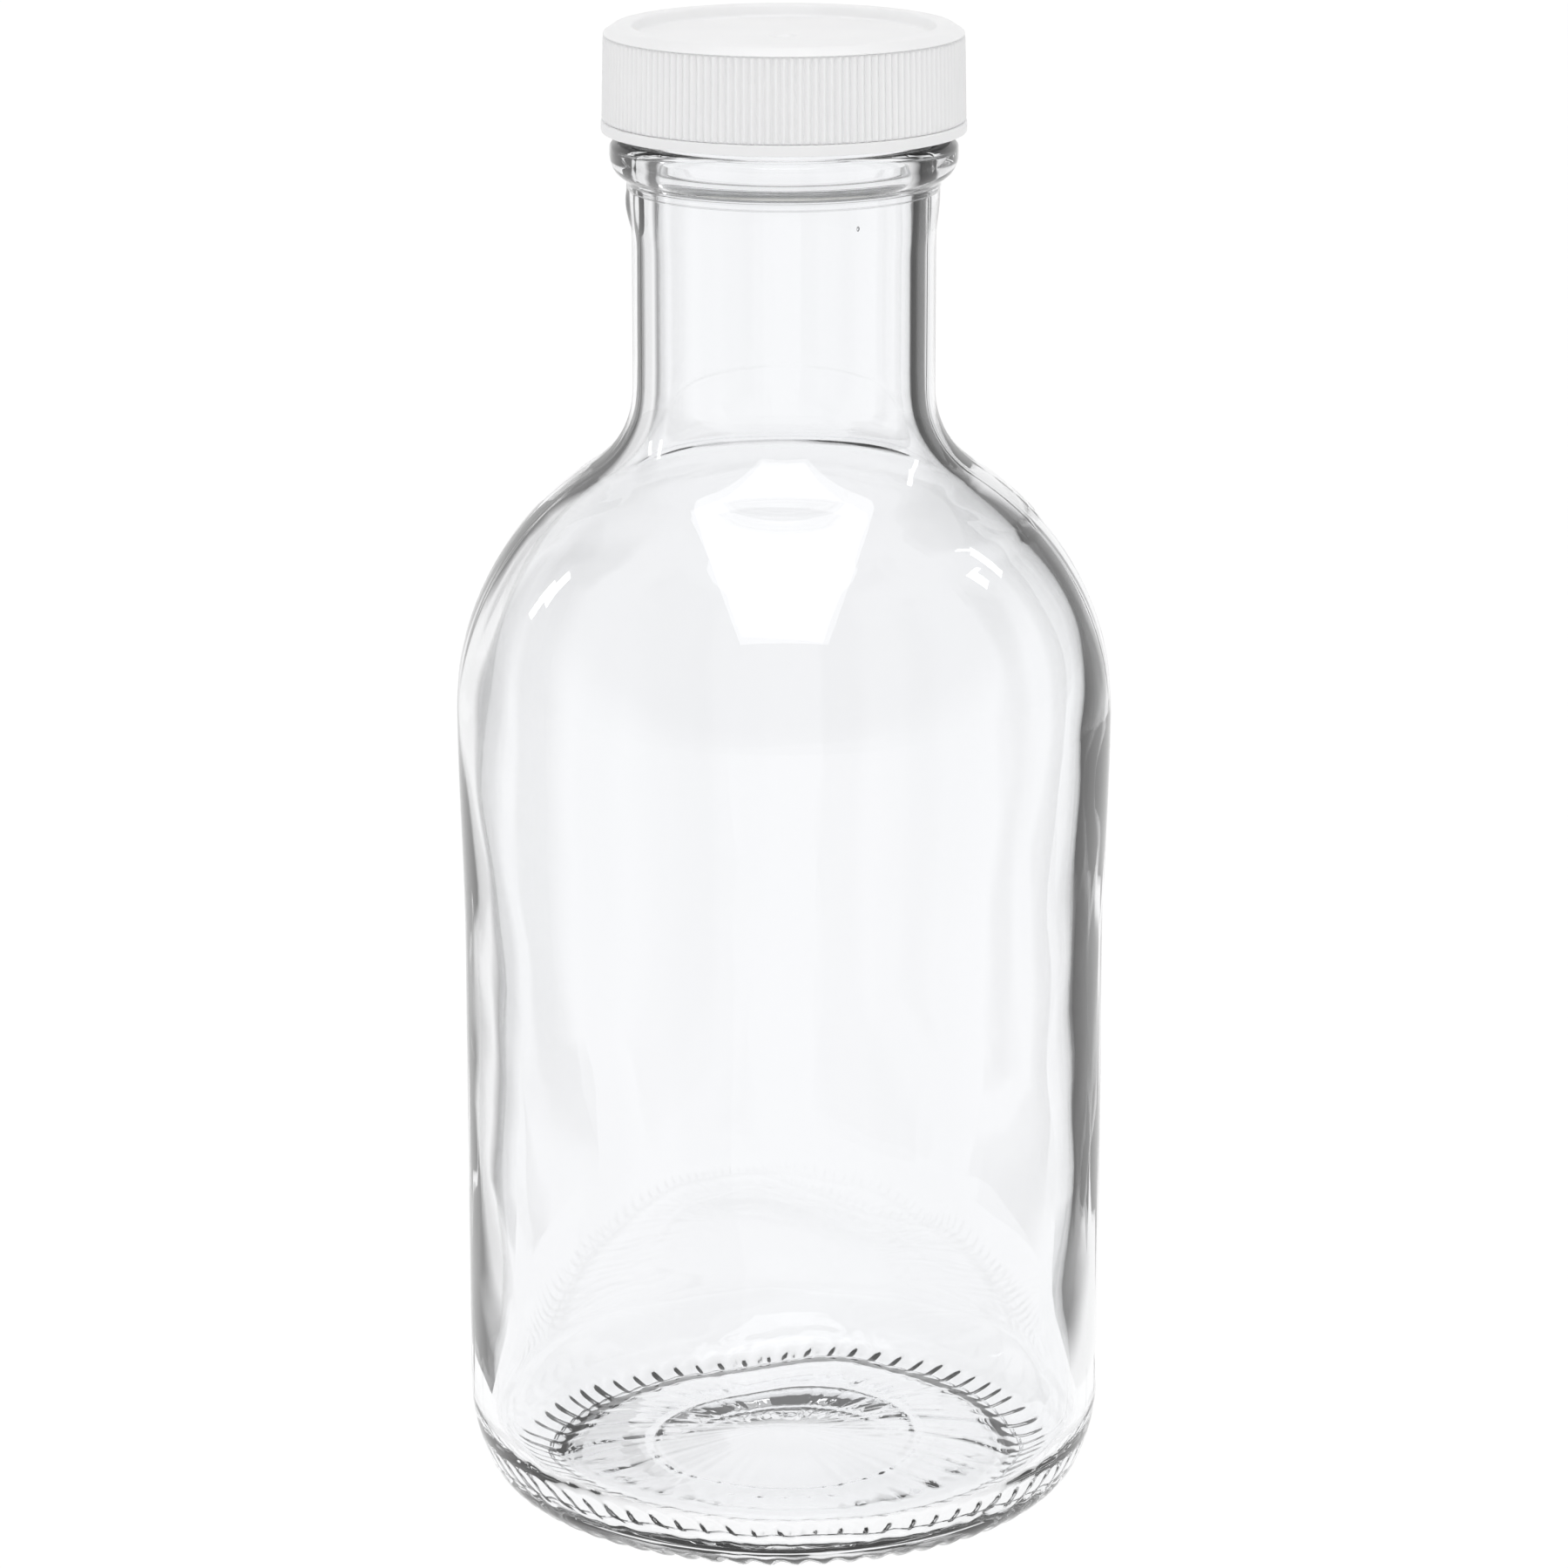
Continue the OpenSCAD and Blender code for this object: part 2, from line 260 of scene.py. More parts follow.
heel_line = outline(
    arc(foot_c, FOOT_R, -90, heel_meet, 15),
    arc(heel_c, HEEL_R, heel_meet, 0, 12),
)
body_line = outline(
    line((BARREL_R, HEEL_TOP + 2), (BARREL_R, PANEL_TOP), 4),
    swell(BARREL_R, BULGE_R, PANEL_TOP, BULGE_Z, 10),
    arc(shoulder_c, SHOULDER_R, 0, neck_meet, 28),
    arc(neck_c, NECK_FILLET, neck_meet + 180, 180, 14),
    line((NECK_R, neck_c[1] + 1), (NECK_R, BAND_Z - 3.2), 3),
)
finish_line = outline(
    eased(
        (NECK_R, BAND_Z - 3, 0),
        (NECK_R + 0.02, BAND_Z - 1.5, 1.4),
        (BAND_R - 0.2, BAND_Z + 2.2, 1.4),
        (BAND_R - 0.18, BAND_Z + 3.3, 0.15),
        (BAND_R - 0.08, BAND_Z + 3.45, 0.15),
        (BAND_R, BEAD_Z - BEAD_LOW_R - 0.1, 0.4),
        (BAND_R + 0.5, BEAD_Z - BEAD_LOW_R + 0.4, 0),
    ),
    arc((BEAD_R - BEAD_LOW_R, BEAD_Z), BEAD_LOW_R, -60, 0, 12),
    arc((BEAD_R - BEAD_HIGH_R, BEAD_TOP - BEAD_HIGH_R), BEAD_HIGH_R, 0, 90, 9),
    eased(
        (BEAD_R - BEAD_HIGH_R - 0.1, BEAD_TOP, 0),
        (ROOT_R, BEAD_TOP, 0.3),
        (ROOT_R, BEAD_TOP + 0.8, 0),
    ),
    line((ROOT_R, BEAD_TOP + 1), (ROOT_R, RIM_Z - 1), 28),
    arc((ROOT_R - 0.8, RIM_Z - 0.8), 0.8, 0, 90, 7),
)

# %% [markdown]
# The thread of a bottle is one ridge that climbs a little over one turn. The mould cuts it as a
# trapezoid with soft corners. Here it is a lift added to the rings of the upright wall, so the wall
# and the ridge stay one skin with no seam for light to catch on.

# %% Screw thread
PITCH = 25.4 / 6
THREAD_Z = 160.1
THREAD_TURN = 450
THREAD_FADE = 40.0
THREAD_FOOT = 1.15
THREAD_CREST = 0.45


def thread_lift(turn, height, start, first, last, foot, crest):
    """How far the ridge stands up, 0 to 1, at each turn (radians) and height."""
    lift = np.zeros_like(turn)
    for lap in range(math.ceil(last / 360) + 1):
        angle = np.degrees(turn) + 360 * lap
        fade = np.clip(np.minimum(angle - first, last - angle) / THREAD_FADE, 0, 1)
        off = np.abs(height - start - PITCH * angle / 360)
        rise = np.clip((foot - off) / (foot - crest), 0, 1)
        lift = np.maximum(lift, fade * rise * rise * (3 - 2 * rise))
    return lift


# %% [markdown]
# The ring that the bottle stands on is cut all round with small crescent notches, so that hot glass
# touches the belt only on their crests and doesn't crack. Each notch leans a little, as the cutter
# leaves it. The two halves of the mould leave a fine upright seam on the left and on the right, and a
# small pad where they lock under the bead, larger on the left.

# %% Marks that the mould leaves
KNURLS = 64
KNURL_DEEP = 0.75
KNURL_MID = 30.3
KNURL_LONG = 8.0
KNURL_LEAN = 0.3
SEAM_HIGH = 0.06
SEAM_WIDE = 0.9
PAD_HIGH = 0.4
PAD_Z = 150.9
PAD_LONG = 5.4
PAD_WIDE = 4.4


def knurl(radius):
    """How far the notches lift the underside at this radius, one value for each point."""
    along = (radius - KNURL_MID) / KNURL_LONG * 2
    phase = KNURLS * around(FINE) + 2 * math.pi * KNURL_LEAN * along * abs(along)
    across = (1 + np.cos(phase)) / 2
    return KNURL_DEEP * hill(radius - KNURL_MID, KNURL_LONG) * across ** 1.4


def seam(radius, height, count):
    """How far the mould seam stands out; it fades where the body is widest."""
    turn = around(count)
    off = radius * np.abs(np.sin(turn))
    clear = min(1.0, max(0.0, (BULGE_R - radius) / 0.3))
    line_lift = SEAM_HIGH * clear * hill(off, SEAM_WIDE)
    side = 0.6 - 0.4 * np.cos(turn)
    pad = PAD_HIGH * side * hill(height - PAD_Z, PAD_LONG) ** 0.5 * hill(off, PAD_WIDE)
    return line_lift + pad


# %% [markdown]
# Glass plants mould a maker's sign and numbers into the underside. Here it is only a thin plain ring
# and five dots, standing a little proud, which give the light the same kind of relief to bend round.

# %% Underside of the bottle
MARK_R = 15.25
MARK_WIDE = 1.7
MARK_HIGH = 0.09
DOT_RING = 18.0
DOT_WIDE = 2.2
DOTS = [math.radians(-90 + 9 * step) for step in range(-2, 3)]
PUSH_MID = 1.4
PUSH_MID_R = 21.0


def push_up(radius):
    """The underside: a broad shallow hollow with a steeper one in the middle, where the plug of the
    mould pushed in."""
    broad = (PUSH_UP - PUSH_EDGE - PUSH_MID) * (1 - (radius / PUSH_R) ** 4)
    middle_rise = PUSH_MID * max(0, 1 - (radius / PUSH_MID_R) ** 2) ** 2
    return PUSH_EDGE + broad + middle_rise


def underside_ring(radius):
    """A ring of the hollow under the bottle, less the relief of the mould mark."""
    turn = around(PLAIN)
    relief = np.full(PLAIN, hill(radius - MARK_R, MARK_WIDE))
    for dot in DOTS:
        gap = np.hypot(
            radius * np.cos(turn) - DOT_RING * math.cos(dot),
            radius * np.sin(turn) - DOT_RING * math.sin(dot),
        )
        relief += hill(gap, DOT_WIDE)
    return ring(radius, push_up(radius) - MARK_HIGH * relief, PLAIN)


hollow = [1, 2.5, 4, 5.5, 7, 8.5, 10, 11.5, 12.8, 13.7, *np.arange(14.5, 16.1, 0.25)]
hollow += [*np.arange(16.6, 19.5, 0.3), 20.5, 22]
step = eased(
    (STEP_IN_R, STEP_IN_Z, 0),
    (PUSH_R, PUSH_EDGE, 1.6),
    (BEARING_IN + 1.2, 0, 2.2),
    (STEP_OUT_R, 0, 0),
    count=6,
)
stand = [*step, *line((STEP_OUT_R + 0.4, 0), (foot_c[0] - 0.2, 0), 3), *heel_line]

# %% [markdown]
# The inside follows the outside at wall thickness. Its slow wave is a sum of a few cosines with
# fixed seeds: long ones for the way the blown bubble stretched, shorter ones for small ripples. In the
# neck the bore also leans a little to one side, as it does where the blowing pin sat off the middle.

# %% Inside of the bottle
WAVE_END_Z = 158
WAVE_FADE = 14
CHILL_Z = 5.5
CHILL_LONG = 9
FLOOR_EDGE_R = 26.5
FLOOR_BLEND = 6
wall_r = BARREL_R - BODY_WALL
chance = np.random.default_rng(23)
WAVES = [
    (high, turns, long, chance.uniform(0, 2 * math.pi))
    for high, turns, long in (
        (0.12, 1, 90), (0.09, 2, 61), (0.07, 3, -47), (0.05, 5, 38),
        (0.03, 7, -31), (0.016, 10, 23), (0.008, 15, -16), (0.004, 22, 11),
    )
]


def unevenness(height, count):
    """How far the inside stands off its true shape, one value for each point."""
    turn = around(count)
    wave = sum(
        high * np.cos(turns * turn + 2 * math.pi * height / long + phase)
        for high, turns, long, phase in WAVES
    )
    lean = -BORE_LEAN * hill(height - LEAN_Z, LEAN_LONG) * np.cos(turn + LEAN_TURN * (height - LEAN_Z))
    return (wave + lean) * min(1.0, max(0.1, (WAVE_END_Z - height) / WAVE_FADE))


CHILL = [(high, turns, chance.uniform(0, 2 * math.pi)) for high, turns in (
    (0.06, 6), (0.05, 11), (0.05, 19), (0.05, 29), (0.05, 43), (0.05, 61)
)]


def chill_marks(height):
    """Puckers round the foot of the wall, where the glass first touched the cold mould."""
    turn = around(PLAIN)
    pucker = sum(high * np.cos(turns * turn + phase) for high, turns, phase in CHILL)
    return pucker * hill(height - CHILL_Z, CHILL_LONG)


inside_line = outline(
    arc((bore_r + 1.0, RIM_Z - 1.0), 1.0, 90, 180, 7),
    line((bore_r, RIM_Z - 1.5), (bore_r, bore_c[1]), 15),
    arc(bore_c, bore_fillet, 180, bore_meet + 180, 12),
    arc(shoulder_c, inner_r, bore_meet, 0, 26),
    swell(shoulder_c[0] + inner_r, wall_r, BULGE_Z, PANEL_TOP, 13),
    line((wall_r, PANEL_TOP - 2), (wall_r, HEEL_WALL + CORNER_R + 1), 20),
    arc((wall_r - CORNER_R, HEEL_WALL + CORNER_R), CORNER_R, 0, -86, 16),
)
corner_low = inside_line[-1]


def inside_ring(radius, height):
    """A ring of the inside; on the floor the wave turns from sideways to upright and dies away."""
    rise = min(1.0, max(0.0, (height - corner_low[1]) / FLOOR_BLEND))
    upright = rise if radius > FLOOR_EDGE_R else 0.0
    off = unevenness(height + (wall_r - radius) * (1 - upright), PLAIN) * (0.4 + 0.6 * upright)
    off = off + chill_marks(height)
    calm = min(1.0, (radius / 30) ** 2)
    return ring(radius + off * upright, height + off * (1 - upright) * calm, PLAIN)


def floor_height(radius):
    """The inside floor rises to the middle, over the hollow of the underside."""
    share = radius / corner_low[0]
    return FLOOR_Z - (FLOOR_Z - corner_low[1]) * share**4


floor_rings = [
    inside_ring(radius, floor_height(radius))
    for radius in (25, 23.5, 22, 20, 18, 16, 14, 12, 10, 8, 6, 4, 2)
]

# %% Bottle of one skin
outside = [underside_ring(radius) for radius in hollow]
outside += [
    ring(radius + seam(radius, height, FINE), height + knurl(radius), FINE) for radius, height in stand
]
for radius, height in np.vstack([body_line, finish_line]):
    turn = around(PLAIN)
    lift = thread_lift(turn, height, THREAD_Z, 0, THREAD_TURN, THREAD_FOOT, THREAD_CREST)
    above = height > BEAD_TOP + 0.5
    edge = radius + seam(radius, height, PLAIN) * (height < BEAD_TOP)
    outside.append(ring(edge + (CREST_R - ROOT_R) * lift * above, height, PLAIN))
inside = [inside_ring(radius, height) for radius, height in inside_line] + floor_rings
glass_skin = [point(PUSH_UP), *outside, *inside, point(FLOOR_Z)]

# %% [markdown]
# Almost every cheap bottle has a seed somewhere: a bubble of gas, stretched as the glass was drawn
# down. It is a hollow in the wall, so its skin faces inwards.

# %% A seed in the neck
SEED_AT = (7.8, -13.5, 150.6)
SEED_R = 0.17
SEED_LONG = 0.3


def seed_rings():
    """A small upright egg of rings, from the top down so that it faces inwards."""
    rings = [np.array([[*SEED_AT[:2], SEED_AT[2] + SEED_LONG]])]
    for lean in np.radians(np.linspace(75, -75, 7)):
        loop = ring(SEED_R * math.cos(lean), SEED_LONG * math.sin(lean), 12)
        rings.append(loop + np.array(SEED_AT))
    return [*rings, np.array([[*SEED_AT[:2], SEED_AT[2] - SEED_LONG]])]


bottle = ring_piece("blown_glass_bottle", glass_skin, seed_rings())

# %% [markdown]
# ## The closure
# The real closure is injection moulded in white polypropylene: a skirt with fine ribs for grip, a
# plain band at its mouth, a flat top with a raised rim, and a small dimple where the plastic came
# in. A rib is round, as wide as the groove beside it, and ends in a small round of its own. Each rib
# gets eight columns of points, so the ribs are true shape and not a pattern painted on.

# %% Sizes of the closure, in millimetres
CAP_TOP = cap_high[2] / MM
SKIRT_Z = cap_low[2] / MM
BAND_OUT = min(cap_high[0], cap_high[1], -cap_low[0], -cap_low[1]) / MM
CAP_R = BAND_OUT - 0.1
CAP_R_TOP = 20.15
RIB_DEEP = 0.4
RIBS = 144
RIB_LOW = SKIRT_Z + 1.25
RIB_TOP = CAP_TOP - 1.05
RIB_END = 0.45
CROWN_R = 18.8
RECESS_R = 16.4
RECESS_DEEP = 1.3
PANEL = 1.2
SKIRT_IN = 19.1
CAP_CREST = 17.8
CAP_THREAD_FROM = 170
CAP_THREAD_TO = 535
CAP_THREAD_FOOT = 0.85
CAP_THREAD_CREST = 0.35
THREAD_GAP = 1.4
HOLD_R = 18.0
GATE_R = 1.5
GATE_DEEP = 0.45
INNER = 288
RIBBED = RIBS * 8

# %% Ribbed skirt
panel_under = CAP_TOP - RECESS_DEEP - PANEL
hold_z = panel_under - (liner_high[2] - liner_low[2]) / MM - 0.35
rib_phase = RIBS * around(RIBBED)


def rib_ring(height):
    """A ring of the ribbed wall: the grooves stay back, the ribs stand out and round off at both ends."""
    up = (height - RIB_LOW) / (RIB_TOP - RIB_LOW)
    crest = CAP_R + (CAP_R_TOP - CAP_R) * up
    near = min(height - RIB_LOW, RIB_TOP - height) / RIB_END
    end = math.sqrt(1 - (1 - min(1.0, near)) ** 2)
    across = 0.5 + 0.5 * np.cos(rib_phase)
    return ring(crest - RIB_DEEP + RIB_DEEP * end * across ** 0.8, height, RIBBED)


ends = [0, 0.04, 0.1, 0.18, 0.28, 0.38, 0.5]
rib_heights = [*(RIB_LOW + np.array(ends)), *np.linspace(RIB_LOW + 1.2, RIB_TOP - 1.2, 6)]
rib_heights += list(RIB_TOP - np.array(ends[::-1]))
ribbed_wall = [rib_ring(height) for height in rib_heights]

# %% Inside of the closure
roof = eased((0.8, panel_under, 0), (SKIRT_IN, panel_under, 0.5), (SKIRT_IN, panel_under - 0.8, 0))
holder = eased(
    (SKIRT_IN, hold_z + 0.3, 0),
    (HOLD_R, hold_z, 0.15),
    (HOLD_R, hold_z - 0.12, 0.1),
    (SKIRT_IN, hold_z - 0.5, 0.2),
    (SKIRT_IN, hold_z - 0.8, 0),
)
skirt = line((SKIRT_IN, hold_z - 1), (SKIRT_IN, SKIRT_Z + 0.6), 34)
cap_inside = [ring(radius, height, INNER) for radius, height in np.vstack([roof, holder])]
for radius, height in skirt:
    lift = thread_lift(
        around(INNER),
        height,
        THREAD_Z - THREAD_GAP,
        CAP_THREAD_FROM,
        CAP_THREAD_TO,
        CAP_THREAD_FOOT,
        CAP_THREAD_CREST,
    )
    cap_inside.append(ring(radius - (SKIRT_IN - CAP_CREST) * lift, height, INNER))

# %% Mouth, band and top of the closure
mouth = eased((SKIRT_IN + 0.1, SKIRT_Z + 0.2, 0), (SKIRT_IN + 0.3, SKIRT_Z, 0.15), (19.9, SKIRT_Z, 0))
band = eased(
    (BAND_OUT - 0.4, SKIRT_Z, 0),
    (BAND_OUT, SKIRT_Z, 0.25),
    (BAND_OUT - 0.03, RIB_LOW - 0.06, 0.12),
    (CAP_R - RIB_DEEP, RIB_LOW, 0.05),
    (CAP_R - RIB_DEEP, RIB_LOW + 0.01, 0),
)
slope_up = eased(
    (CAP_R_TOP - RIB_DEEP, RIB_TOP, 0),
    (CAP_R_TOP, RIB_TOP + 0.06, 0.1),
    (CAP_R_TOP - 0.05, RIB_TOP + 0.2, 0.1),
    (CROWN_R + 0.1, CAP_TOP - 0.02, 0.3),
    (CROWN_R - 0.6, CAP_TOP, 0),
)
top = eased(
    (CROWN_R - 0.8, CAP_TOP, 0),
    (RECESS_R + 0.55, CAP_TOP, 0.3),
    (RECESS_R + 0.1, CAP_TOP - RECESS_DEEP, 0.3),
    (RECESS_R - 1.5, CAP_TOP - RECESS_DEEP, 0),
)
gate = eased(
    (GATE_R + 0.6, CAP_TOP - RECESS_DEEP, 0),
    (GATE_R, CAP_TOP - RECESS_DEEP, 0.3),
    (GATE_R - 0.35, CAP_TOP - RECESS_DEEP - GATE_DEEP, 0.2),
    (0.3, CAP_TOP - RECESS_DEEP - GATE_DEEP, 0),
)
face = line((RECESS_R - 3, CAP_TOP - RECESS_DEEP), (GATE_R + 1.5, CAP_TOP - RECESS_DEEP), 5)
cap_skin = [point(panel_under), *cap_inside]
cap_skin += [ring(radius, height, INNER) for radius, height in mouth]
cap_skin += [ring(radius, height, 2 * INNER) for radius, height in band[:-6]]
cap_skin += [ring(radius, height, RIBBED) for radius, height in band[-6:-1]]
cap_skin += ribbed_wall
cap_skin += [ring(radius, height, RIBBED) for radius, height in slope_up[1:-1]]
cap_skin += [ring(radius, height, 2 * INNER) for radius, height in top[:8]]
cap_skin += [ring(radius, height, INNER) for radius, height in np.vstack([top[8:], face, gate])]
cap_skin.append(point(CAP_TOP - RECESS_DEEP - GATE_DEEP))
cap = ring_piece("ribbed_closure", cap_skin)

# %% [markdown]
# ## The liner
# A disc of foamed polyethylene, cut by a die, lies in the closure. Its cut edge is slightly barrel
# shaped, and the glass rim has pressed a shallow ring into its face. It shows when the closure is
# off, and through the glass as the pale roof of the mouth.

# %% Foam disc
LINER_R = min(liner_high[0], liner_high[1], -liner_low[0], -liner_low[1]) / MM
LINER_LOW = liner_low[2] / MM
LINER_TOP = liner_high[2] / MM
PRESS_R = 16.0
PRESS_WIDE = 4.0
PRESS_DEEP = 0.12
liner_under = [
    (radius, LINER_LOW + PRESS_DEEP * hill(radius - PRESS_R, PRESS_WIDE))
    for radius in (2, 6, 10, 13.5, *np.arange(14, 18, 0.35))
]
liner_edge = eased(
    (LINER_R - 0.2, LINER_LOW, 0),
    (LINER_R, LINER_LOW + 0.1, 0.1),
    (LINER_R, LINER_TOP - 0.1, 0.1),
    (LINER_R - 0.2, LINER_TOP, 0),
)
liner_top = [(radius, LINER_TOP) for radius in (17.5, 15, 12, 9, 6, 3)]
liner_rings = [ring(radius, height, INNER) for radius, height in (*liner_under, *liner_edge, *liner_top)]
liner = ring_piece("foam_liner", [point(LINER_LOW), *liner_rings, point(LINER_TOP)])

# %% [markdown]
# ## Finishes
# One helper adds a node and wires it, and one turns a paint-chart colour into the linear light that
# the shaders count in. Every pattern below is sized from a length in millimetres.

# %% Helpers for finishes
def linear(chart):
    """The linear colour of an sRGB hex value."""
    parts = [int(chart[k : k + 2], 16) / 255 for k in (1, 3, 5)]
    return [p / 12.92 if p <= 0.04045 else ((p + 0.055) / 1.055) ** 2.4 for p in parts] + [1.0]


def add(tree, kind, sockets, **settings):
    """Adds a node; each socket gets a value, or a link when it is given another node's output."""
    node = tree.nodes.new(kind)
    for name, value in settings.items():
        setattr(node, name, value)
    for name, value in sockets.items():
        if isinstance(value, bpy.types.NodeSocket):
            tree.links.new(value, node.inputs[name])
        else:
            node.inputs[name].default_value = value
    return node


def finish_for(name):
    """An empty node material and its tree."""
    material = bpy.data.materials.new(name)
    material.use_nodes = True
    material.node_tree.nodes.clear()
    return material, material.node_tree


def per_metre(size_mm):
    """The scale of a pattern whose grain is this many millimetres."""
    return 1 / (size_mm * MM)


# %% [markdown]
# **Soda-lime glass**, blown. It bends light with an index of 1.52 and is perfectly smooth, because
# the fire polishes it. What tells it from clean acrylic is a slow waviness of the skin, a few
# hundredths of a millimetre over ten or so. Bottle glass of this kind is decoloured, so hardly any
# tint is left.

# %% Soda-lime glass
glass, tree = finish_for("soda_lime_glass")
place = add(tree, "ShaderNodeTexCoord", {}).outputs["Object"]
stretch = add(tree, "ShaderNodeMapping", {"Vector": place, "Scale": (1, 1, 0.45)}).outputs["Vector"]
ripple = add(tree, "ShaderNodeTexNoise", {"Vector": stretch, "Scale": per_metre(11), "Detail": 1.0})
bend = add(
    tree, "ShaderNodeBump", {"Height": ripple.outputs["Fac"], "Distance": 0.03 * MM, "Strength": 0.7}
)
cloud = add(tree, "ShaderNodeTexNoise", {"Vector": place, "Scale": per_metre(40)})
tint = add(tree, "ShaderNodeMix", {"Factor": cloud.outputs["Fac"]}, data_type="RGBA")
tint.inputs[6].default_value = linear("#FBFBFC")
tint.inputs[7].default_value = linear("#F9FAFB")
surface = add(
    tree,
    "ShaderNodeBsdfPrincipled",
    {
        "Base Color": tint.outputs[2],
        "Normal": bend.outputs["Normal"],
        "Roughness": 0.0,
        "IOR": 1.52,
        "Transmission Weight": 1.0,
    },
)
add(tree, "ShaderNodeOutputMaterial", {"Surface": surface.outputs["BSDF"]})
bottle.data.materials.append(glass)

# %% [markdown]
# **Polypropylene**, injection moulded with white pigment. The mould is lightly sparked, so the skin
# is satin, and light goes a fraction of a millimetre into it, which softens the ribs. The cloudy
# change in gloss is where the plastic flowed and cooled.

# %% Polypropylene
plastic, tree = finish_for("moulded_polypropylene")
place = add(tree, "ShaderNodeTexCoord", {}).outputs["Object"]
flow = add(tree, "ShaderNodeTexNoise", {"Vector": place, "Scale": per_metre(9), "Detail": 3.0})
white = add(tree, "ShaderNodeMix", {"Factor": flow.outputs["Fac"]}, data_type="RGBA")
white.inputs[6].default_value = linear("#F0F0F0")
white.inputs[7].default_value = linear("#EBEBEC")
gloss = add(tree, "ShaderNodeMapRange", {"Value": flow.outputs["Fac"], "To Min": 0.33, "To Max": 0.43})
spark = add(tree, "ShaderNodeTexNoise", {"Vector": place, "Scale": per_metre(0.25), "Detail": 2.0})
skin = add(
    tree, "ShaderNodeBump", {"Height": spark.outputs["Fac"], "Distance": 0.008 * MM, "Strength": 0.6}
)
surface = add(
    tree,
    "ShaderNodeBsdfPrincipled",
    {
        "Base Color": white.outputs[2],
        "Roughness": gloss.outputs["Result"],
        "Normal": skin.outputs["Normal"],
        "IOR": 1.49,
        "Subsurface Weight": 0.3,
        "Subsurface Radius": (1.0, 1.0, 1.0),
        "Subsurface Scale": 0.5 * MM,
    },
)
add(tree, "ShaderNodeOutputMaterial", {"Surface": surface.outputs["BSDF"]})
cap.data.materials.append(plastic)

# %% [markdown]
# **Foamed polyethylene**, extruded as a sheet and die cut. It is dull and faintly cellular; the real
# cells are near 0.2 mm, and they are drawn at 0.35 mm so that they show.

# %% Foamed polyethylene
foam, tree = finish_for("foamed_polyethylene")
place = add(tree, "ShaderNodeTexCoord", {}).outputs["Object"]
cells = add(tree, "ShaderNodeTexVoronoi", {"Vector": place, "Scale": per_metre(0.35)})
cream = add(tree, "ShaderNodeMix", {"Factor": cells.outputs["Distance"]}, data_type="RGBA")
cream.inputs[6].default_value = linear("#F2F1EC")
cream.inputs[7].default_value = linear("#E2E1DA")
dimple = add(
    tree, "ShaderNodeBump", {"Height": cells.outputs["Distance"], "Distance": 0.03 * MM, "Strength": 0.8}
)
surface = add(
    tree,
    "ShaderNodeBsdfPrincipled",
    {
        "Base Color": cream.outputs[2],
        "Normal": dimple.outputs["Normal"],
        "Roughness": 0.75,
        "IOR": 1.5,
    },
)
add(tree, "ShaderNodeOutputMaterial", {"Surface": surface.outputs["BSDF"]})
liner.data.materials.append(foam)

# %% [markdown]
# ## Joining the frame
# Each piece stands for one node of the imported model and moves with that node's body.

# %% Pieces on their bodies
for piece, body, node, slot in (
    (bottle, "bottle", "glass_bottle", "clear_glass"),
    (cap, "cap", "screw_cap", "white_polypropylene"),
    (liner, "liner", "cap_liner", "white_foam"),
):
    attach(piece, body)
    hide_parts(node)
# Light goes through clear glass and on to the table, so the bottle casts no hard shadow.
bottle.visible_shadow = False

# %% [markdown]
# ## The studio
# Clear glass shows nothing of itself, only what stands around it. A white table and a bright room
# make its middle white; dark cards to the left and right, out of sight, are bent into its edges by
# the thick wall and draw its outline. This is how glass is lit for a catalogue: bright field, black
# flags.

# %% Table
bpy.ops.mesh.primitive_plane_add(size=8)
table = bpy.context.object
table.name = "table"
white_table, tree = finish_for("white_acrylic_sheet")
place = add(tree, "ShaderNodeTexCoord", {}).outputs["Object"]
grain = add(tree, "ShaderNodeTexNoise", {"Vector": place, "Scale": per_metre(300)})
shade = add(tree, "ShaderNodeMix", {"Factor": grain.outputs["Fac"]}, data_type="RGBA")
shade.inputs[6].default_value = linear("#484848")
shade.inputs[7].default_value = linear("#444444")
surface = add(
    tree,
    "ShaderNodeBsdfPrincipled",
    {
        "Base Color": shade.outputs[2],
        "Roughness": 0.9,
        "Specular IOR Level": 0.1,
        "Emission Color": linear("#FFFFFF"),
        "Emission Strength": 0.97,
    },
)
add(tree, "ShaderNodeOutputMaterial", {"Surface": surface.outputs["BSDF"]})
table.data.materials.append(white_table)

# %% [markdown]
# The room is a lit backdrop: bright near the table and high up behind the bottle, and dim above the
# camera, so that the white of the closure keeps its shape.

# %% Room
world = bpy.data.worlds.new("studio_room")
bpy.context.scene.world = world
world.use_nodes = True
tree = world.node_tree
tree.nodes.clear()
way = add(tree, "ShaderNodeTexCoord", {}).outputs["Generated"]
split = add(tree, "ShaderNodeSeparateXYZ", {"Vector": way})
rise = add(
    tree,
    "ShaderNodeMath",
    {0: split.outputs["Y"], 1: -0.3, 2: split.outputs["Z"]},
    operation="MULTIPLY_ADD",
)
level = add(tree, "ShaderNodeMapRange", {
    "Value": rise.outputs[0], "From Min": 0.15, "From Max": 0.4, "To Min": 0.95, "To Max": 0.42
})
room = add(tree, "ShaderNodeBackground", {"Color": linear("#FFFFFF"), "Strength": level.outputs["Result"]})
add(tree, "ShaderNodeOutputWorld", {"Surface": room.outputs["Background"]})

# %% [markdown]
# A long soft box overhead lights the closure and draws one bright shape on the shoulder of the glass.
# A second one in front only fills the face of the closure, so it is kept out of reflections. Two
# narrow lamps behind, left and right, put a short bright stroke on each side of the shoulder.

